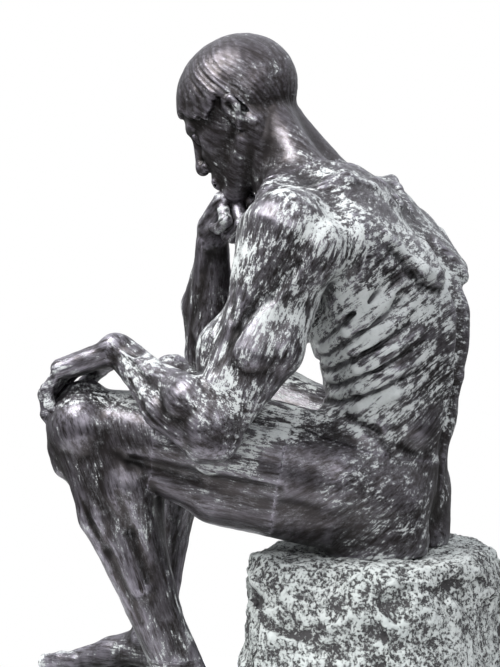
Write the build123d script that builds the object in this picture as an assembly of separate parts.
from build123d import *
import math
import os
import numpy as np

# A seated thinking figure: hollow bronze castings joined by sleeves, bolted to two rocks.
# The figure faces -Y, its left is +X, +Z is up, and the origin is the centre of the base's underside.
# Places of the figure are in heads over its soles: x to its left, y to its back, z up.

# Driving dimensions, in millimetres
head_height = 140.0
base_rock_height = 60.0
seat_rock_height = 165.0

# Castings
wall = 5.0
large_web = 14.0
small_web = 8.0
fit_gap = 0.15
cut_overrun = 3.0

# Sleeves: outer radius, which keeps its share of the body that it lies in, and wall
sleeve_radius_shares = {"neck": 1 / 7, "waist": 3 / 10, "shoulder": 3 / 28, "elbow": 11 / 140, "wrist": 1 / 20,
                        "hip": 11 / 70, "knee": 17 / 140, "ankle": 2 / 35}
neck_sleeve_radius = head_height * sleeve_radius_shares["neck"]
waist_sleeve_radius = head_height * sleeve_radius_shares["waist"]
shoulder_sleeve_radius = head_height * sleeve_radius_shares["shoulder"]
elbow_sleeve_radius = head_height * sleeve_radius_shares["elbow"]
wrist_sleeve_radius = head_height * sleeve_radius_shares["wrist"]
hip_sleeve_radius = head_height * sleeve_radius_shares["hip"]
knee_sleeve_radius = head_height * sleeve_radius_shares["knee"]
ankle_sleeve_radius = head_height * sleeve_radius_shares["ankle"]
large_sleeve_wall = 4.0
small_sleeve_wall = 2.5

# Studs, washers and nuts under the rocks
seat_stud_radius = 6.0
foot_stud_radius = 4.0
seat_stud_grip = 11.0
foot_stud_grip = 16.0
washer_thickness = 2.5
washer_radius_share = 2.0
nut_height_share = 1.6
nut_radius_share = 1.75
stud_tail = 3.0
recess_depth = 22.0
recess_gap = 2.0

# Rock outlines
rock_ripple = 7.0
seat_rock_half_width = 138.0
seat_rock_front = 104.0
seat_rock_back = 128.0
base_rock_half_width = 172.0
base_rock_front = 402.0
base_rock_back = 150.0

# Counts
limb_rays = 28
trunk_rays = 40
rock_rays = 36
ray_samples = 48

# Joint places of the pose
SPINE_SHARES = [(0.08, 1.62), (0.22, 2.12), (0.20, 2.66), (-0.04, 3.16), (-0.46, 3.52)]
ARM_SHARES = {
    "left": ((0.88, -0.20, 3.20), (1.26, -0.62, 2.02), (0.86, -1.42, 2.52)),
    "right": ((-0.86, -0.32, 3.16), (-0.70, -1.36, 2.42), (-0.24, -1.18, 3.30)),
}
LEG_SHARES = {
    "left": ((0.37, 0.02, 1.66), (0.80, -1.70, 2.00), (0.62, -1.12, 0.29)),
    "right": ((-0.37, 0.02, 1.66), (-0.74, -1.70, 2.08), (-0.74, -1.86, 0.30)),
}
SIGN = {"left": 1.0, "right": -1.0}
toe_out_degrees = {"left": 8.0, "right": -10.0}
head_centre_share = (0.0, -0.88, 4.10)
head_pitch_degrees = 33.0
upper_arm_girth_share = 1.34
forearm_girth_share = 1.30
thigh_girth_share = 1.22
shin_girth_share = 1.26

# Trunk masses: x, share along the spine, back, then radii sideways, in depth and along, and blend.
TRUNK_SHARES = [
    (0.00, 0.00, 0.02, 0.58, 0.42, 0.42, 0.10),
    (0.00, 0.24, -0.05, 0.55, 0.42, 0.46, 0.15),
    (0.00, 0.53, -0.02, 0.70, 0.52, 0.66, 0.15),
    (0.00, 0.80, 0.02, 0.68, 0.44, 0.42, 0.15),
]
# Paired muscles of the trunk: both ends (x, along, back), radii, thinness in depth, blend.
PAIR_SHARES = [
    ((0.27, -0.14, 0.20), (0.32, -0.02, 0.16), 0.34, 0.30, 1.0, 0.10),
    ((0.40, 0.10, -0.02), (0.42, 0.32, -0.02), 0.17, 0.15, 1.0, 0.12),
    ((0.12, 0.04, 0.28), (0.12, 0.50, 0.34), 0.13, 0.11, 1.0, 0.08),
    ((0.24, 0.26, 0.20), (0.66, 0.70, 0.14), 0.20, 0.24, 0.70, 0.07),
    ((0.48, 0.38, 0.02), (0.66, 0.72, 0.06), 0.19, 0.21, 0.85, 0.08),
    ((0.18, 0.68, -0.38), (0.66, 0.82, -0.20), 0.20, 0.20, 0.65, 0.07),
    ((0.16, 0.61, -0.40), (0.44, 0.65, -0.36), 0.17, 0.17, 0.60, 0.07),
    ((0.34, 0.68, 0.40), (0.50, 0.84, 0.32), 0.17, 0.19, 0.60, 0.05),
    ((0.38, 0.60, 0.38), (0.74, 0.74, 0.24), 0.13, 0.16, 0.75, 0.05),
    ((0.32, 0.86, 0.27), (0.78, 0.88, 0.14), 0.13, 0.14, 0.75, 0.05),
    ((0.10, 0.52, 0.40), (0.14, 0.90, 0.32), 0.12, 0.15, 0.60, 0.06),
    ((0.14, 1.02, 0.10), (0.74, 0.95, 0.04), 0.21, 0.16, 0.80, 0.09),
    ((0.40, 0.80, 0.06), (0.80, 0.84, 0.02), 0.27, 0.22, 1.0, 0.10),
    ((0.10, 0.30, -0.29), (0.10, 0.52, -0.33), 0.12, 0.12, 0.60, 0.05),
    ((0.10, 0.06, -0.26), (0.10, 0.26, -0.30), 0.13, 0.12, 0.60, 0.05),
]
# Limb muscles: both ends (share along, front, outer side), radii, blend.
UPPER_ARM_SHARES = [
    ((0.00, 0.00, 0.00), (1.00, 0.00, 0.00), 0.19, 0.125, 0.08),
    ((-0.04, 0.01, 0.09), (0.46, 0.02, 0.10), 0.215, 0.08, 0.06),
    ((-0.02, 0.13, 0.03), (0.44, 0.06, 0.07), 0.17, 0.07, 0.05),
    ((-0.02, -0.13, 0.02), (0.42, -0.05, 0.07), 0.17, 0.07, 0.05),
    ((0.26, 0.07, -0.02), (0.58, 0.115, -0.02), 0.11, 0.155, 0.06),
    ((0.58, 0.115, -0.02), (0.96, 0.05, 0.00), 0.155, 0.07, 0.06),
    ((0.16, -0.09, -0.04), (0.50, -0.12, -0.02), 0.12, 0.14, 0.06),
    ((0.50, -0.12, -0.02), (0.92, -0.07, 0.00), 0.14, 0.08, 0.06),
    ((0.52, 0.02, 0.08), (0.96, 0.04, 0.06), 0.08, 0.085, 0.05),
    ((1.00, -0.07, 0.00), (1.02, -0.08, 0.00), 0.085, 0.075, 0.05),
    ((0.98, 0.00, -0.10), (0.98, 0.00, 0.09), 0.085, 0.08, 0.05),
]
FOREARM_SHARES = [
    ((0.00, 0.00, 0.00), (1.00, 0.00, 0.00), 0.130, 0.080, 0.06),
    ((-0.04, 0.08, 0.07), (0.20, 0.07, 0.10), 0.080, 0.120, 0.05),
    ((0.20, 0.07, 0.10), (0.68, 0.04, 0.05), 0.120, 0.060, 0.05),
    ((0.02, 0.02, -0.09), (0.26, 0.01, -0.09), 0.090, 0.125, 0.05),
    ((0.26, 0.01, -0.09), (0.76, 0.01, -0.04), 0.125, 0.062, 0.05),
    ((0.00, -0.09, 0.00), (0.94, -0.05, -0.03), 0.065, 0.045, 0.04),
    ((0.10, -0.06, 0.07), (0.34, -0.06, 0.08), 0.080, 0.095, 0.05),
    ((0.34, -0.06, 0.08), (0.80, -0.03, 0.03), 0.095, 0.055, 0.05),
    ((1.00, 0.00, -0.045), (1.00, 0.00, 0.045), 0.072, 0.075, 0.04),
]
THIGH_SHARES = [
    ((0.00, 0.00, 0.00), (1.00, 0.00, 0.00), 0.31, 0.195, 0.10),
    ((0.08, 0.13, 0.02), (0.50, 0.17, 0.02), 0.20, 0.195, 0.08),
    ((0.50, 0.17, 0.02), (0.90, 0.11, 0.01), 0.195, 0.12, 0.07),
    ((0.06, 0.02, 0.17), (0.50, 0.06, 0.16), 0.22, 0.20, 0.08),
    ((0.50, 0.06, 0.16), (0.88, 0.06, 0.11), 0.20, 0.12, 0.06),
    ((0.48, 0.05, -0.12), (0.76, 0.07, -0.14), 0.15, 0.145, 0.06),
    ((0.76, 0.07, -0.14), (0.94, 0.03, -0.11), 0.145, 0.11, 0.05),
    ((0.06, -0.04, -0.17), (0.52, -0.06, -0.12), 0.22, 0.17, 0.08),
    ((0.04, -0.15, 0.04), (0.46, -0.18, 0.03), 0.24, 0.20, 0.08),
    ((0.46, -0.18, 0.06), (0.96, -0.10, 0.10), 0.17, 0.075, 0.06),
    ((0.46, -0.18, -0.05), (0.96, -0.10, -0.10), 0.16, 0.070, 0.06),
    ((1.01, 0.155, 0.00), (1.03, 0.15, 0.00), 0.105, 0.10, 0.05),
    ((1.00, 0.02, -0.09), (1.00, 0.02, 0.10), 0.165, 0.160, 0.06),
]
SHIN_SHARES = [
    ((0.00, 0.00, 0.00), (1.00, -0.01, 0.00), 0.190, 0.095, 0.08),
    ((0.05, 0.15, 0.00), (0.11, 0.155, -0.01), 0.085, 0.085, 0.05),
    ((0.11, 0.12, -0.02), (0.92, 0.055, -0.03), 0.080, 0.050, 0.04),
    ((0.10, 0.07, 0.08), (0.32, 0.07, 0.09), 0.090, 0.105, 0.05),
    ((0.32, 0.07, 0.09), (0.86, 0.03, 0.01), 0.105, 0.050, 0.05),
    ((0.02, -0.08, -0.07), (0.27, -0.13, -0.09), 0.120, 0.160, 0.06),
    ((0.27, -0.13, -0.09), (0.55, -0.08, -0.04), 0.160, 0.085, 0.05),
    ((0.02, -0.08, 0.07), (0.25, -0.12, 0.09), 0.120, 0.145, 0.06),
    ((0.25, -0.12, 0.09), (0.50, -0.08, 0.05), 0.145, 0.085, 0.05),
    ((0.30, -0.07, 0.00), (0.74, -0.07, 0.00), 0.150, 0.090, 0.06),
    ((0.66, -0.08, 0.00), (1.02, -0.13, 0.00), 0.065, 0.050, 0.05),
]
# Foot: both ends (forward of the ankle, outer side, height over the sole), radii, blend.
FOOT_SHARES = [
    ((-0.13, 0.00, 0.13), (-0.09, 0.00, 0.14), 0.135, 0.14, 0.06),
    ((0.00, 0.00, 0.40), (0.02, 0.00, 0.22), 0.135, 0.15, 0.08),
    ((0.00, 0.00, 0.24), (0.32, -0.03, 0.16), 0.135, 0.120, 0.08),
    ((0.10, 0.08, 0.09), (0.52, 0.12, 0.07), 0.095, 0.085, 0.06),
    ((0.32, -0.05, 0.15), (0.58, -0.09, 0.085), 0.110, 0.090, 0.06),
    ((0.34, 0.02, 0.13), (0.58, 0.02, 0.085), 0.105, 0.085, 0.06),
]
# Toes: offset to the outer side, start and end forward, radii.
TOE_SHARES = [
    (-0.120, 0.58, 0.86, 0.072, 0.062),
    (-0.025, 0.62, 0.86, 0.048, 0.042),
    (0.050, 0.60, 0.82, 0.045, 0.040),
    (0.117, 0.56, 0.76, 0.042, 0.038),
    (0.178, 0.51, 0.70, 0.042, 0.038),
]
toe_knuckle_height_share = 0.075
toe_tip_height_share = 0.038
# Fingers: offset across the palm, reach of the knuckle, three bones, radius.
FINGER_SHARES = [
    (-0.146, 0.425, (0.205, 0.128, 0.094), 0.052),
    (-0.049, 0.445, (0.226, 0.144, 0.100), 0.053),
    (0.049, 0.430, (0.210, 0.133, 0.097), 0.051),
    (0.142, 0.392, (0.166, 0.100, 0.086), 0.046),
]
# Head masses: centre (x, forward, up), radii, blend.
HEAD_SHARES = [
    ((0.00, -0.05, 0.15), (0.350, 0.420, 0.360), 0.05),
    ((0.00, 0.13, -0.08), (0.245, 0.255, 0.32), 0.08),
    ((0.00, 0.17, -0.28), (0.185, 0.20, 0.19), 0.06),
]
# Features of a plain face: both ends (x, forward, up), radii, in pairs, carved, blend.
FACE_SHARES = [
    ((0.235, 0.00, -0.22), (0.07, 0.29, -0.43), 0.07, 0.07, True, False, 0.06),
    ((-0.05, 0.325, -0.435), (0.05, 0.325, -0.435), 0.07, 0.07, False, False, 0.05),
    ((0.17, 0.22, -0.07), (0.215, 0.08, -0.04), 0.075, 0.065, True, False, 0.06),
    ((0.04, 0.345, 0.095), (0.17, 0.285, 0.085), 0.040, 0.038, True, False, 0.04),
    ((0.118, 0.395, -0.005), (0.150, 0.36, -0.005), 0.085, 0.075, True, True, 0.05),
    ((0.00, 0.350, 0.06), (0.00, 0.455, -0.15), 0.036, 0.046, False, False, 0.03),
    ((0.00, 0.335, -0.31), (0.00, 0.335, -0.31), 0.095, 0.095, False, False, 0.05),
    ((-0.070, 0.385, -0.298), (0.070, 0.385, -0.298), 0.026, 0.026, False, False, 0.02),
    ((-0.060, 0.385, -0.345), (0.060, 0.385, -0.345), 0.029, 0.029, False, False, 0.02),
    ((0.315, -0.03, 0.03), (0.325, -0.08, -0.09), 0.055, 0.045, True, False, 0.03),
]


def vec(x, y, z):
    return np.array([x, y, z], float)


def unit(v):
    return v / np.linalg.norm(v)


def across(v, axis):
    """The part of v square to the axis, as a unit vector."""
    return unit(v - axis * float(v @ axis))


def smooth_min(a, b, k):
    h = np.maximum(k - np.abs(a - b), 0.0) / k
    return np.minimum(a, b) - h * h * k / 4


def capsule_depth(p, a, b, ra, rb, flat, thin):
    """Distance to a tapered capsule, thinner by the share thin in the direction flat."""
    ab = b - a
    t = np.clip(((p - a) @ ab) / max(float(ab @ ab), 1e-12), 0.0, 1.0)
    v = p - a - t[..., None] * ab
    r = ra + (rb - ra) * t
    if flat is None:
        return np.sqrt((v * v).sum(-1)) - r
    n = v @ flat
    rest = np.maximum((v * v).sum(-1) - n * n, 0.0)
    k0 = np.sqrt(rest + (n / thin) ** 2) / r
    k1 = np.sqrt(rest + (n / thin ** 2) ** 2) / (r * r)
    return k0 * (k0 - 1.0) / np.maximum(k1, 1e-9)


def ellipsoid_depth(p, centre, axes, radii):
    q = (p - centre) @ np.array(axes).T
    r = np.array(radii)
    k0 = np.sqrt(((q / r) ** 2).sum(-1))
    k1 = np.sqrt(((q / (r * r)) ** 2).sum(-1))
    return k0 * (k0 - 1.0) / np.maximum(k1, 1e-9)


def capsule(a, b, ra, rb, blend, flat=None, thin=1.0, carved=False):
    return (capsule_depth, (a, b, ra, rb, flat, thin), blend, carved)


def ellipsoid(centre, axes, radii, blend):
    return (ellipsoid_depth, (centre, axes, radii), blend, False)


def depth(forms, p):
    """Signed distance in heads from p to the blended forms, negative inside."""
    d = np.full(p.shape[:-1], 9.0)
    for measure, values, blend, carved in forms:
        own = measure(p, *values)
        d = -smooth_min(-d, own, blend) if carved else smooth_min(d, own, blend)
    return d


def spine(u):
    """Centre, upward tangent and backward normal of the trunk at the share u of its length."""
    pts = np.array([SPINE_SHARES[0], *SPINE_SHARES, SPINE_SHARES[-1]], float)
    pts[0] = 2 * pts[1] - pts[2]
    pts[-1] = 2 * pts[-2] - pts[-3]
    spans = len(SPINE_SHARES) - 1
    i = int(min(max(math.floor(u * spans), 0), spans - 1))
    t = u * spans - i
    p0, p1, p2, p3 = pts[i:i + 4]
    first, second, third = p2 - p0, 2 * p0 - 5 * p1 + 4 * p2 - p3, 3 * p1 - p0 - 3 * p2 + p3
    c = (2 * p1 + first * t + second * t ** 2 + third * t ** 3) / 2
    g = unit(first + 2 * second * t + 3 * third * t ** 2)
    return vec(0, c[0], c[1]), vec(0, g[0], g[1]), vec(0, g[1], -g[0])


trunk_length_share = 2.15


def trunk_point(x, u, back):
    inside = min(max(u, 0.0), 1.0)
    c, up, behind = spine(inside)
    return c + vec(x, 0, 0) + behind * back + up * (u - inside) * trunk_length_share


def trunk_forms():
    forms = []
    for x, u, back, wide, deep, tall, blend in TRUNK_SHARES:
        c, up, behind = spine(min(max(u, 0.0), 1.0))
        axes = np.array([vec(1, 0, 0), behind, up])
        forms.append(ellipsoid(trunk_point(x, u, back), axes, (wide, deep, tall), blend))
    for (x0, u0, b0), (x1, u1, b1), ra, rb, thin, blend in PAIR_SHARES:
        behind = spine(min(max((u0 + u1) / 2, 0.0), 1.0))[2]
        for side in (-1.0, 1.0):
            a = trunk_point(side * x0, u0, b0)
            b = trunk_point(side * x1, u1, b1)
            flat = None if thin == 1.0 else across(behind, unit(b - a))
            forms.append(capsule(a, b, ra, rb, blend, flat, thin))
    return forms


def limb_forms(rows, a, b, front, sign, girth):
    """Muscles of a limb from a to b, whose front side faces the direction front."""
    axis = unit(b - a)
    ahead = across(front, axis)
    outer = np.cross(axis, ahead)
    if outer[0] * sign < 0:
        outer = -outer
    forms = []
    for start, end, ra, rb, blend in rows:
        p = a + (b - a) * start[0] + (ahead * start[1] + outer * start[2]) * girth
        q = a + (b - a) * end[0] + (ahead * end[1] + outer * end[2]) * girth
        forms.append(capsule(p, q, ra * girth, rb * girth, blend))
    return forms


def foot_axes(side):
    ankle = vec(*LEG_SHARES[side][2])
    turn = math.radians(toe_out_degrees[side])
    forward = vec(math.sin(turn), -math.cos(turn), 0)
    outer = vec(math.cos(turn), math.sin(turn), 0) * SIGN[side]
    return vec(ankle[0], ankle[1], 0), forward, outer


def foot_forms(side):
    origin, forward, outer = foot_axes(side)
    up = vec(0, 0, 1)
    at = lambda s, o, h: origin + forward * s + outer * o + up * h
    forms = [capsule(at(*a), at(*b), ra, rb, blend) for a, b, ra, rb, blend in FOOT_SHARES]
    for offset, start, end, ra, rb in TOE_SHARES:
        a = at(start, offset, toe_knuckle_height_share)
        m = at((start + end) / 2, offset, toe_knuckle_height_share)
        b = at(end, offset, toe_tip_height_share)
        forms.append(capsule(a, m, ra, ra, ra / 2))
        forms.append(capsule(m, b, ra, rb, ra / 2))
    return forms


def turned(v, axis, angle):
    c, s = math.cos(angle), math.sin(angle)
    return v * c + np.cross(axis, v) * s + axis * float(axis @ v) * (1 - c)


# Hands: the way to the knuckles, the way the palm faces, the bend of each finger's bones, and
# the thumb's bones (along, across, to the palm) with their radii.
HAND_SHARES = {
    "left": ((-0.06, -0.94, -0.32), (0.0, 0.2, -1.0),
             [(30, 42, 20), (32, 44, 22), (34, 44, 22), (36, 46, 22)],
             [((0.16, 0.11, 0.02), 0.070, 0.061), ((0.16, 0.02, 0.07), 0.058, 0.051),
              ((0.11, -0.01, 0.06), 0.051, 0.040)]),
    "right": ((0.45, 0.62, 0.40), (0.5, 0.3, -0.9),
              [(75, 85, 40), (78, 88, 40), (80, 90, 40), (82, 92, 40)],
              [((0.15, 0.06, 0.07), 0.070, 0.061), ((0.11, -0.07, 0.09), 0.058, 0.051),
               ((0.05, -0.11, 0.02), 0.049, 0.040)]),
}
palm_start_share = 0.07
palm_radius_share = 0.078
knuckle_radius_share = 0.066
web_half_width_share = 0.17
web_thin_share = 0.26


def hand_axes(side):
    along = unit(vec(*HAND_SHARES[side][0]))
    palm = across(vec(*HAND_SHARES[side][1]), along)
    return along, palm, np.cross(along, palm) * SIGN[side]


def hand_forms(side):
    """Palm, fingers and thumb, with a web that fills between the fingers."""
    wrist = vec(*ARM_SHARES[side][2])
    along, palm, over = hand_axes(side)
    _, _, curls, thumb = HAND_SHARES[side]
    forms = []
    middle = []
    for (offset, reach, bones, r), bends in zip(FINGER_SHARES, curls):
        knuckle = wrist + along * reach + over * offset
        start = wrist + along * palm_start_share + over * offset / 2
        forms.append(capsule(start, knuckle, palm_radius_share, knuckle_radius_share, 0.04))
        p, way, radius = knuckle, along, r
        path = [(p, way)]
        for bone, angle in zip(bones, bends):
            way = turned(way, np.cross(along, palm), math.radians(angle))
            q = p + way * bone
            forms.append(capsule(p, q, radius, radius * 0.9, radius / 3))
            p, radius = q, radius * 0.92
            path.append((p, way))
        middle.append(path)
    centre = [sum(path[i][0] for path in middle) / len(middle) for i in range(len(middle[0]))]
    ways = [unit(sum(path[i][1] for path in middle)) for i in range(len(middle[0]))]
    for a, b, way in zip(centre, centre[1:], ways[1:]):
        flat = across(np.cross(over, way), way)
        forms.append(capsule(a, b, web_half_width_share, web_half_width_share, 0.05, flat, web_thin_share))
    p = wrist + along * 2 * palm_start_share - over * knuckle_radius_share * 2 + palm * 0.03
    for (da, dx, dp), ra, rb in thumb:
        q = p + along * da - over * dx + palm * dp
        forms.append(capsule(p, q, ra, rb, 0.03))
        p = q
    return forms, centre, ways


def head_axes():
    a = math.radians(head_pitch_degrees)
    return vec(*head_centre_share), vec(0, -math.cos(a), -math.sin(a)), vec(0, -math.sin(a), math.cos(a))


def head_forms():
    origin, forward, up = head_axes()
    at = lambda p: origin + vec(1, 0, 0) * p[0] + forward * p[1] + up * p[2]
    axes = np.array([vec(1, 0, 0), forward, up])
    forms = [ellipsoid(at(c), axes, r, blend) for c, r, blend in HEAD_SHARES]
    for a, b, ra, rb, paired, carved, blend in FACE_SHARES:
        for side in ((1.0, -1.0) if paired else (1.0,)):
            ends = [at((side * p[0], p[1], p[2])) for p in (a, b)]
            forms.append(capsule(*ends, ra, rb, blend, carved=carved))
    return forms


# Neck: skull and trunk ends of its column and its paired cords.
neck_radii_share = (0.29, 0.26)
neck_skull_share = (0.08, 0.18)
NECK_CORD_SHARES = [
    ((0.25, -0.12, -0.14), (0.06, 0.95, -0.24), 0.09, 0.06, 0.05),
    ((0.12, -0.24, -0.20), (0.24, 0.95, 0.12), 0.11, 0.16, 0.08),
]


def neck_forms():
    origin, forward, up = head_axes()
    skull = origin - forward * neck_skull_share[0] - up * neck_skull_share[1]
    forms = [capsule(trunk_point(0, 0.98, 0.0), skull, *neck_radii_share, 0.10)]
    for side in (-1.0, 1.0):
        for (x, f, u), (tx, tu, tb), ra, rb, blend in NECK_CORD_SHARES:
            a = origin + vec(side * x, 0, 0) + forward * f + up * u
            forms.append(capsule(a, trunk_point(side * tx, tu, tb), ra, rb, blend))
    return forms


# From forms to solids. A station is a plane: its centre in heads, its normal, and a guard or None.
# A guard is a point and a way: the outline stays on that side of the point, short of a crease.
bisections = 12
guard_share = 0.03
inner_guard_share = 0.10


def half_space(point, way):
    """Everything beyond the plane at point, to be carved away."""
    return (lambda p, c, n: (c - p) @ n, (point, way), 0.01, True)


def kept_clear(others, gap):
    """Everything nearer to the other forms than the gap, to be carved away."""
    return (lambda p, g: depth(others, p) - g, (gap,), 0.01, True)


def reach_of(forms, centre, ways, inset, reach):
    """How far from centre the forms' surface, moved in by inset, lies along each way."""
    steps = np.linspace(0.0, reach, ray_samples)
    d = depth(forms, centre + ways[:, None, :] * steps[None, :, None]) + inset
    outside = d > 0
    outside[:, -1] = True
    first = np.maximum(outside.argmax(axis=1), 1)
    low, high = steps[first - 1], steps[first]
    for _ in range(bisections):
        middle = (low + high) / 2
        inner = depth(forms, centre + ways * middle[:, None]) + inset < 0
        low, high = np.where(inner, middle, low), np.where(inner, high, middle)
    return (low + high) / 2


def place(p):
    """A point of the figure, from heads to millimetres in the part's frame."""
    figure_back = (base_rock_front - base_rock_back) / 2
    return Vector(p[0] * head_height, p[1] * head_height + figure_back, p[2] * head_height + base_rock_height)


def outline(forms, station, inset=0.0, reach=1.0, rays=limb_rays):
    centre, normal, guard = station
    if guard is not None:
        point, way = guard
        off = inner_guard_share if inset > 0 else guard_share
        forms = forms + [half_space(point + way * off, -way)]
    right = across(vec(1, 0, 0), normal)
    ahead = np.cross(normal, right)
    angles = np.arange(rays) * 2 * math.pi / rays
    ways = np.cos(angles)[:, None] * right + np.sin(angles)[:, None] * ahead
    points = centre + ways * reach_of(forms, centre, ways, inset, reach)[:, None]
    even = [i / rays for i in range(rays + 1)]
    return Wire([Edge.make_spline([place(p) for p in points], periodic=True, parameters=even)])


def tip(forms, station, inset=0.0, reach=1.0):
    """The point where the station's normal leaves the forms, as a loft's rounded end."""
    centre, normal, _ = station
    far = reach_of(forms, centre, np.array([normal]), inset, reach)[0]
    return Vertex(place(centre + normal * far))


def side_faces(wires):
    """The ruled faces between outlines that follow each other, the last of which may be a point."""
    faces = []
    for a, b in zip(wires, wires[1:]):
        if isinstance(b, Vertex):
            cone = Solid.make_loft([a, b], ruled=True)
            faces += [face for face in cone.faces() if face.geom_type != GeomType.PLANE]
        else:
            faces.append(Face.make_surface_from_curves(a.edge(), b.edge()))
    return faces


def solid_through(wires):
    """A solid casting through its outlines."""
    ends = [Face(wire) for wire in (wires[0], wires[-1]) if not isinstance(wire, Vertex)]
    return Solid(Shell(side_faces(wires) + ends))


def ring_at(seam, offset, radius):
    """A circle about the seam's axis, in millimetres, offset along its normal."""
    centre, normal, _ = seam
    at = place(centre) + Vector(*normal) * offset
    return Wire([Edge.make_circle(radius, Plane(origin=at, z_dir=Vector(*normal)))])


def shell_casting(outer, inner, first=None, last=None):
    """A hollow casting between its outer and inner outlines, with a bored web at each seam.

    first and last are (seam, web, bore radius), None for an end that is closed."""
    faces = side_faces(outer) + side_faces(inner)
    for at, end, turn in ((0, first, 1.0), (-1, last, -1.0)):
        if isinstance(outer[at], Vertex):
            continue
        if end is None:
            faces += [Face(outer[at]), Face(inner[at])]
            continue
        seam, web, radius = end
        rings = [ring_at(seam, 0.0, radius), ring_at(seam, turn * web, radius)]
        faces += [Face(outer[at], [rings[0]]), Face(inner[at], [rings[1]])]
        faces += side_faces(rings)
    return Solid(Shell(faces))


def straight(a, b, shares):
    """Planes square to the way from a to b, at shares of it."""
    axis = unit(b - a)
    return [(a + (b - a) * share, axis, None) for share in shares]


def bend(pivot, start, finish, first_way, rho, turns):
    """Planes that turn about a crease at pivot, from the normal start to the normal finish.

    rho holds the centres' distance from the pivot at the start, its swell midway, and at the finish."""
    axis = unit(np.cross(start, finish))
    total = math.acos(float(start @ finish))
    planes = []
    for i in range(turns + 1):
        share = i / turns
        normal = turned(start, axis, total * share)
        way = turned(first_way, axis, total * share)
        radius = rho[0] + (rho[2] - rho[0]) * share + rho[1] * math.sin(math.pi * share)
        planes.append((pivot + way * radius, normal, (pivot, way)))
    return planes


def moved_along(station, offset):
    centre, normal, guard = station
    return (centre + normal * offset / head_height, normal, guard)


bend_skip_degrees = 40.0


def hollow_limb(name, rows, first, last):
    """A limb casting through rows of (station, forms).

    first and last are (web, sleeve radius) of the joints at its ends."""
    seam_a, seam_b = rows[0][0], rows[-1][0]
    inner = [(moved_along(seam_a, first[0]), rows[0][1])]
    for station, forms in rows[1:-1]:
        turn = math.degrees(math.acos(min(1.0, float(station[1] @ seam_a[1]))))
        away = float(np.linalg.norm(station[0] - seam_a[0])) * head_height
        left = float(np.linalg.norm(station[0] - seam_b[0])) * head_height
        bent = turn > 1.0 and station[2] is not None
        if (not bent or turn > bend_skip_degrees) and away > 2 * first[0] and left > 2 * last[0]:
            inner.append((station, forms))
    inner.append((moved_along(seam_b, -last[0]), rows[-1][1]))
    outer_wires = [outline(forms, station) for station, forms in rows]
    inner_wires = [outline(forms, station, wall / head_height) for station, forms in inner]
    ends = [(seam_a, first[0], first[1] + fit_gap), (seam_b, last[0], last[1] + fit_gap)]
    pieces[name] = shell_casting(outer_wires, inner_wires, *ends)


def rod(centre, way, radius, behind, ahead):
    """A round bar about the way through centre, in millimetres, from behind to ahead of it."""
    plane = Plane(origin=centre - Vector(*way) * behind, z_dir=Vector(*way))
    return plane * Cylinder(radius, behind + ahead, align=(Align.CENTER, Align.CENTER, Align.MIN))


def slab(point, way, size):
    """A block that starts at the plane through point and runs on along the way."""
    plane = Plane(origin=point, z_dir=Vector(*way))
    return plane * Box(size, size, size, align=(Align.CENTER, Align.CENTER, Align.MIN))


def one_solid(shape):
    """The largest solid of a shape, as a cut can leave crumbs."""
    return max(shape.solids(), key=lambda solid: solid.volume)


pieces = {}


def sleeve_joint(name, seam, radius, thickness, web, solid_casting=None):
    """A sleeve across a flat seam, seated in the webs on both sides of it.

    solid_casting is the casting beyond the seam, where it is solid and gets its bore here."""
    centre, normal, _ = seam
    c = place(centre)
    if solid_casting is not None:
        pieces[solid_casting] = pieces[solid_casting] - rod(c, normal, radius + fit_gap, cut_overrun, web)
    bore = rod(c, normal, radius - thickness, web + cut_overrun, web + cut_overrun)
    pieces[name] = rod(c, normal, radius, web, web) - bore


# The forms of the whole figure
trunk = trunk_forms()
neck = neck_forms()
head = head_forms()
shell = wall / head_height
seat_share = seat_rock_height / head_height
upper_arms, forearms, hands, thighs, shins, feet = {}, {}, {}, {}, {}, {}
for side in ("left", "right"):
    s, e, w = (vec(*p) for p in ARM_SHARES[side])
    upper_arms[side] = limb_forms(UPPER_ARM_SHARES, s, e, w - e, SIGN[side], upper_arm_girth_share)
    forearms[side] = limb_forms(FOREARM_SHARES, e, w, s - e, SIGN[side], forearm_girth_share)
    hands[side] = hand_forms(side)
    h, k, a = (vec(*p) for p in LEG_SHARES[side])
    thighs[side] = limb_forms(THIGH_SHARES, h, k, k - a, SIGN[side], thigh_girth_share)
    shins[side] = limb_forms(SHIN_SHARES, k, a, k - h, SIGN[side], shin_girth_share)
    feet[side] = foot_forms(side)

# Where the limbs leave the trunk
shoulder_inset_share = 0.12
shoulder_drop_share = 0.04
shoulder_lean_share = -0.20
hip_seam_share = 0.24
shoulders, hip_seams = {}, {}
for side in ("left", "right"):
    s = vec(*ARM_SHARES[side][0])
    centre = s - vec(SIGN[side] * shoulder_inset_share, 0, shoulder_drop_share)
    shoulders[side] = (centre, unit(vec(SIGN[side], 0, shoulder_lean_share)), None)
    h, k = (vec(*p) for p in LEG_SHARES[side][:2])
    hip_seams[side] = straight(h, k, [hip_seam_share])[0]

# Trunk: hips from the seat to the waist, torso from the waist to the collar
waist_share = 0.14
hip_station_shares = (0.20, 0.42, 0.64, 0.80, 0.91)
torso_station_shares = (0.24, 0.34, 0.44, 0.54, 0.63, 0.71, 0.78, 0.84, 0.89)
collar_share = (0.08, 0.62)
trunk_reach_share = 1.4
cut_margin_share = 0.06


def trunk_seams():
    c, up, _ = spine(waist_share)
    origin, forward, head_up = head_axes()
    collar = origin - forward * collar_share[0] - head_up * collar_share[1]
    return (vec(0, c[1], seat_share), vec(0, 0, 1), None), (c, up, None), (collar, head_up, None)


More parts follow.
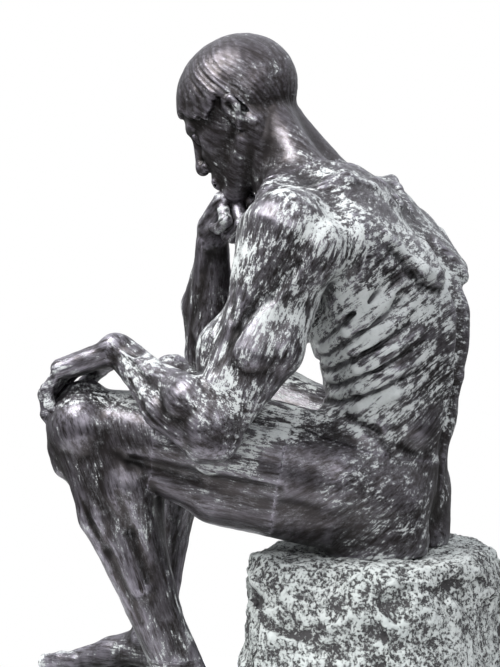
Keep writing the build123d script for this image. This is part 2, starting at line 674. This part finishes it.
def cut_flat(casting, seams, radius):
    """Cuts a casting off flat at its seams, and bores the webs that are left there."""
    tools = []
    for centre, normal, _ in seams:
        c = place(centre)
        bore = rod(c, normal, radius + fit_gap, large_web + cut_overrun, cut_overrun)
        tools.append(slab(c, normal, 2 * head_height) + bore)
    pieces[casting] = one_solid(pieces[casting] - tools)


def clipped(forms, seams, offset):
    return forms + [half_space(centre + normal * offset, normal) for centre, normal, _ in seams]


def make_trunk():
    seat, waist, collar = trunk_seams()
    web = large_web / head_height
    both = [hip_seams["left"], hip_seams["right"]]
    forms = trunk + thighs["left"] + thighs["right"]
    planes = []
    for share in hip_station_shares:
        c = seat[0] + (waist[0] - seat[0]) * share
        planes.append((c, unit(seat[1] * (1 - share) + waist[1] * share), None))
    outer_forms = clipped(forms, both, cut_margin_share)
    inner_forms = clipped(forms, both, -web)
    outer = [outline(outer_forms, p, 0.0, trunk_reach_share, trunk_rays) for p in [seat, *planes]]
    outer += [outline(trunk, waist, 0.0, trunk_reach_share, trunk_rays)]
    hollow = [moved_along(seat, large_web), *planes, moved_along(waist, -large_web)]
    inner = [outline(inner_forms, p, shell, trunk_reach_share, trunk_rays) for p in hollow]
    pieces["hips"] = shell_casting(outer, inner, None, (waist, large_web, waist_sleeve_radius + fit_gap))
    cut_flat("hips", both, hip_sleeve_radius)

    both = [shoulders["left"], shoulders["right"]]
    forms = trunk + neck
    planes = [(*spine(u)[:2], None) for u in torso_station_shares]
    outer_forms = clipped(forms, both, cut_margin_share)
    inner_forms = clipped(trunk, both, -web)
    outer = [outline(trunk, waist, 0.0, trunk_reach_share, trunk_rays)]
    outer += [outline(outer_forms, p, 0.0, trunk_reach_share, trunk_rays) for p in planes]
    outer += [outline(neck, collar, 0.0, trunk_reach_share, trunk_rays)]
    inner = [outline(trunk, moved_along(waist, large_web), shell, trunk_reach_share, trunk_rays)]
    inner += [outline(inner_forms, p, shell, trunk_reach_share, trunk_rays) for p in planes[:-1]]
    inner += [outline(neck, moved_along(collar, -large_web), shell, trunk_reach_share, trunk_rays)]
    first = (waist, large_web, waist_sleeve_radius + fit_gap)
    last = (collar, large_web, neck_sleeve_radius + fit_gap)
    pieces["torso"] = shell_casting(outer, inner, first, last)
    cut_flat("torso", both, shoulder_sleeve_radius)


# Head: stations up from the collar, as shares of the way to the crown
head_station_shares = (0.12, 0.20, 0.27, 0.33, 0.38, 0.43, 0.48, 0.53, 0.58, 0.64, 0.71, 0.79, 0.87, 0.94, 0.985)
crown_reach_share = 2.0


def make_head():
    collar = trunk_seams()[2]
    centre, up, _ = collar
    forms = neck + head
    crown = reach_of(forms, centre, np.array([up]), 0.0, crown_reach_share)[0]
    planes = [(centre + up * crown * share, up, None) for share in head_station_shares]
    outer = [outline(neck, collar, 0.0, 1.0, trunk_rays)]
    outer += [outline(forms, p, 0.0, 1.0, trunk_rays) for p in planes] + [tip(forms, planes[-1])]
    hollow = planes[1:-2]
    inner = [outline(forms, moved_along(collar, large_web), shell, 1.0, trunk_rays)]
    inner += [outline(forms, p, shell, 1.0, trunk_rays) for p in hollow] + [tip(forms, hollow[-1], shell)]
    pieces["head"] = shell_casting(outer, inner, (collar, large_web, neck_sleeve_radius + fit_gap))


# Arms
armpit_drop_share = 0.40
shoulder_turns = 5
upper_arm_station_shares = (0.35, 0.65)
elbow_crease_share = 0.22
elbow_turns = 6
forearm_station_shares = (0.25, 0.50, 0.75, 0.92)
contact_gap = 0.4


def crease(a, b, c, clear, turns):
    """The bend at b between the limbs a-b and b-c, and how far it reaches back along each."""
    first, second = unit(b - a), unit(c - b)
    inner = unit(second - first)
    half = math.acos(float(inner @ second))
    pivot = b + inner * clear / math.sin(half)
    back = clear / math.tan(half)
    swell = (clear / math.sin(half) - clear) / 2
    arc = bend(pivot, first, second, across(-inner, first), (clear, swell, clear), turns)
    return arc, back


def make_arm(side):
    s, e, w = (vec(*p) for p in ARM_SHARES[side])
    clear = []
    if side == "right":
        clear = [kept_clear(thighs[side] + shins[side], contact_gap / head_height)]
    upper, whole = upper_arms[side] + clear, upper_arms[side] + forearms[side] + clear
    lower = forearms[side] + clear
    axis, fore = unit(e - s), unit(w - e)
    centre, normal, _ = shoulders[side]
    onward = across(axis, normal)
    pivot = centre + onward * armpit_drop_share
    shoulder = (centre, normal, (pivot, -onward))
    along = float((pivot - s) @ axis)
    rho = (armpit_drop_share, 0.0, float(np.linalg.norm(s + axis * along - pivot)))
    arc = bend(pivot, normal, axis, -onward, rho, shoulder_turns)
    elbow_arc, back = crease(s, e, w, elbow_crease_share, elbow_turns)
    run = straight(s + axis * along, e - axis * back, upper_arm_station_shares)
    elbow = elbow_arc[0]
    rows = [(shoulder, upper)] + [(p, upper) for p in arc[1:] + run] + [(elbow, upper)]
    hollow_limb(f"{side}_upper_arm", rows, (large_web, shoulder_sleeve_radius), (small_web, elbow_sleeve_radius))

    run = straight(e + fore * back, w, forearm_station_shares)
    wrist = (w, unit(fore + hand_axes(side)[0]), None)
    rows = [(elbow, upper)] + [(p, whole) for p in elbow_arc[1:-1]] + [(elbow_arc[-1], lower)]
    rows += [(p, lower) for p in run] + [(wrist, lower)]
    hollow_limb(f"{side}_forearm", rows, (small_web, elbow_sleeve_radius), (small_web, wrist_sleeve_radius))
    return elbow, wrist


# Hands are cast solid: planes out to the fingertips of the open hand, or to the knuckles of the fist
palm_station_shares = (0.12, 0.24, 0.36)
fist_station_shares = (0.12, 0.22, 0.32, 0.40, 0.46)


def make_hand(side, wrist):
    w = vec(*ARM_SHARES[side][2])
    along, palm, over = hand_axes(side)
    forms, path, ways = hands[side]
    gap = contact_gap / head_height
    others = thighs[side] + shins[side] if side == "left" else head
    forms = forms + [kept_clear(others, gap)]
    if side == "left":
        stations = [(w + along * share, along, None) for share in palm_station_shares]
        for i in range(1, len(path)):
            way = ways[i]
            stations.append(((path[i - 1] + path[i]) / 2, way, None))
    else:
        stations = [(w + along * share + palm * palm_radius_share / 2, along, None) for share in fist_station_shares]
    wires = [outline(forearms[side], wrist)] + [outline(forms, p, 0.0, 0.6) for p in stations]
    pieces[f"{side}_hand"] = solid_through([*wires, tip(forms, stations[-1])])


# Legs
thigh_station_shares = (0.25, 0.50, 0.75)
knee_crease_share = 0.30
knee_turns = 8
shin_station_shares = (0.18, 0.36, 0.54, 0.72, 0.86)
ankle_seam_height_share = 0.44
instep_pivot_share = (0.20, 0.44)
instep_rho_shares = (0.20, 0.0, 0.24)
ankle_turns = 6
foot_station_shares = (0.32, 0.44, 0.56, 0.66, 0.76)
foot_middle_height_share = 0.10


def make_leg(side):
    h, k, a = (vec(*p) for p in LEG_SHARES[side])
    upper, lower = thighs[side], shins[side]
    whole = upper + lower
    thigh_axis, shin_axis = unit(k - h), unit(a - k)
    hip = hip_seams[side]
    knee_arc, back = crease(h, k, a, knee_crease_share, knee_turns)
    run = straight(hip[0], k - thigh_axis * back, thigh_station_shares)
    knee = knee_arc[0]
    root = trunk + thighs["left"] + thighs["right"]
    rows = [(hip, root)] + [(p, upper) for p in run] + [(knee, upper)]
    hollow_limb(f"{side}_thigh", rows, (large_web, hip_sleeve_radius), (small_web, knee_sleeve_radius))

    share = (k[2] - ankle_seam_height_share) / (k[2] - a[2])
    ankle = (k + (a - k) * share, vec(0, 0, -1), None)
    run = straight(k + shin_axis * back, ankle[0], shin_station_shares)
    rows = [(knee, upper)] + [(p, whole) for p in knee_arc[1:-1]] + [(knee_arc[-1], lower)]
    rows += [(p, lower) for p in run] + [(ankle, lower)]
    hollow_limb(f"{side}_shin", rows, (small_web, knee_sleeve_radius), (small_web, ankle_sleeve_radius))

    origin, forward, _ = foot_axes(side)
    up = vec(0, 0, 1)
    pivot = origin + forward * instep_pivot_share[0] + up * instep_pivot_share[1]
    arc = bend(pivot, -up, forward, -forward, instep_rho_shares, ankle_turns)
    toes = [(origin + forward * share + up * foot_middle_height_share, forward, None) for share in foot_station_shares]
    sole = feet[side] + shins[side]
    wires = [outline(lower, ankle)] + [outline(sole, p, 0.0, 0.6) for p in arc[1:]]
    wires += [outline(feet[side], p, 0.0, 0.6) for p in toes] + [tip(feet[side], toes[-1])]
    foot = solid_through(wires)
    ground = Vector(0, 0, base_rock_height)
    pieces[f"{side}_foot"] = one_solid(foot - slab(ground, (0, 0, -1), 8 * head_height))
    return knee, ankle


# Rocks: a rounded outline with ripples, drawn in and out over its height
rock_level_shares = ((0.0, 0.96, 0.0), (0.3, 1.02, 0.8), (0.7, 1.0, 1.7), (1.0, 0.93, 2.6))
rock_corner_power = 3.2
ripple_waves = ((3, 0.5), (7, 0.32), (11, 0.18))


def rock(name, half_width, front, back, low, high, phase):
    """A block from low to high, with its outline centred between its front and its back."""
    figure_back = (base_rock_front - base_rock_back) / 2
    middle = figure_back + (back - front) / 2
    half_depth = (front + back) / 2
    wires = []
    for level, size, shift in rock_level_shares:
        points = []
        for i in range(rock_rays):
            angle = 2 * math.pi * i / rock_rays
            c, s = math.cos(angle), math.sin(angle)
            power = rock_corner_power
            r = (abs(c / half_width) ** power + abs(s / half_depth) ** power) ** (-1 / power) * size
            r += rock_ripple * sum(w * math.sin(n * angle + phase + shift * n) for n, w in ripple_waves)
            points.append(Vector(r * c, middle + r * s, low + (high - low) * level))
        even = [i / rock_rays for i in range(rock_rays + 1)]
        wires.append(Wire([Edge.make_spline(points, periodic=True, parameters=even)]))
    pieces[name] = solid_through(wires)


# Studs hold the hips and the feet down on the rocks, with washers and nuts in recesses below
seat_stud_place_share = (0.26, 0.20)
foot_stud_forward_share = 0.22
stud_hole_gap = 0.5


def nut(centre, radius):
    """A hexagonal nut whose lower face is at the centre."""
    across_corners = radius * nut_radius_share
    sides = 6
    points = []
    for i in range(sides):
        angle = 2 * math.pi * i / sides
        points.append(centre + Vector(math.cos(angle), math.sin(angle), 0) * across_corners)
    face = Face(Wire.make_polygon(points, close=True))
    block = Solid.extrude(face, Vector(0, 0, radius * nut_height_share))
    return block - rod(centre, (0, 0, 1), radius + fit_gap, cut_overrun, radius * nut_height_share + cut_overrun)


def make_fixings(kind, places, radius, grip, top, held, rocks):
    """Studs from the recesses under the base up into the castings that they hold."""
    studs, washers, nuts = [], [], []
    up = (0, 0, 1)
    for p, casting in zip(places, held):
        washer_radius = radius * washer_radius_share
        under = Vector(p.X, p.Y, recess_depth - washer_thickness)
        low = recess_depth - washer_thickness - radius * nut_height_share - stud_tail
        foot = Vector(p.X, p.Y, low)
        studs.append(rod(foot, up, radius, 0.0, top - low + grip))
        hole = rod(foot, up, radius + fit_gap, 0.0, top - low + grip + fit_gap)
        pieces[casting] = pieces[casting] - hole
        loose = rod(foot, up, radius + stud_hole_gap, recess_depth, top - low + cut_overrun)
        for name in rocks:
            pieces[name] = pieces[name] - loose
        recess = rod(Vector(p.X, p.Y, 0), up, washer_radius + recess_gap, cut_overrun, recess_depth)
        pieces["base_rock"] = pieces["base_rock"] - recess
        washer = rod(under, up, washer_radius, 0.0, washer_thickness)
        washers.append(washer - rod(under, up, radius + fit_gap, cut_overrun, washer_thickness + cut_overrun))
        nuts.append(nut(under - Vector(0, 0, radius * nut_height_share), radius))
    pieces[f"{kind}_studs"] = studs
    pieces[f"{kind}_washers"] = washers
    pieces[f"{kind}_nuts"] = nuts


def main():
    make_trunk()
    make_head()
    seams = {}
    for side in ("left", "right"):
        seams[side] = (*make_arm(side), *make_leg(side))
        make_hand(side, seams[side][1])
    base_top = base_rock_height
    seat_top = base_rock_height + seat_rock_height
    rock("base_rock", base_rock_half_width, base_rock_front, base_rock_back, 0.0, base_top, 0.4)
    rock("seat_rock", seat_rock_half_width, seat_rock_front, seat_rock_back, base_top, seat_top, 1.9)
    _, waist, collar = trunk_seams()
    sleeve_joint("waist_sleeve", waist, waist_sleeve_radius, large_sleeve_wall, large_web)
    sleeve_joint("neck_sleeve", collar, neck_sleeve_radius, small_sleeve_wall, large_web)
    for side in ("left", "right"):
        elbow, wrist, knee, ankle = seams[side]
        sleeve_joint(f"{side}_shoulder_sleeve", shoulders[side], shoulder_sleeve_radius, large_sleeve_wall,
                     large_web)
        sleeve_joint(f"{side}_elbow_sleeve", elbow, elbow_sleeve_radius, small_sleeve_wall, small_web)
        sleeve_joint(f"{side}_wrist_sleeve", wrist, wrist_sleeve_radius, small_sleeve_wall, small_web,
                     f"{side}_hand")
        sleeve_joint(f"{side}_hip_sleeve", hip_seams[side], hip_sleeve_radius, large_sleeve_wall,
                     large_web)
        sleeve_joint(f"{side}_knee_sleeve", knee, knee_sleeve_radius, small_sleeve_wall, small_web)
        sleeve_joint(f"{side}_ankle_sleeve", ankle, ankle_sleeve_radius, small_sleeve_wall, small_web,
                     f"{side}_foot")
    x, y = seat_stud_place_share
    seats = [place(vec(turn * x, y, 0)) for turn in (1, -1)]
    both = ["seat_rock", "base_rock"]
    make_fixings("seat", seats, seat_stud_radius, seat_stud_grip, seat_top, ["hips", "hips"], both)
    soles = []
    for side in ("left", "right"):
        origin, forward, _ = foot_axes(side)
        soles.append(place(origin + forward * foot_stud_forward_share))
    held = ["left_foot", "right_foot"]
    make_fixings("foot", soles, foot_stud_radius, foot_stud_grip, base_top, held, ["base_rock"])
    os.makedirs("parts", exist_ok=True)
    for name, piece in pieces.items():
        solids = piece if isinstance(piece, list) else [one_solid(piece)]
        solids = [one_solid(solid) for solid in solids]
        shape = solids[0] if len(solids) == 1 else Compound(children=solids)
        export_step(shape, f"parts/{name}.step")
        if not all(solid.is_valid for solid in solids):
            print("invalid", name)


main()
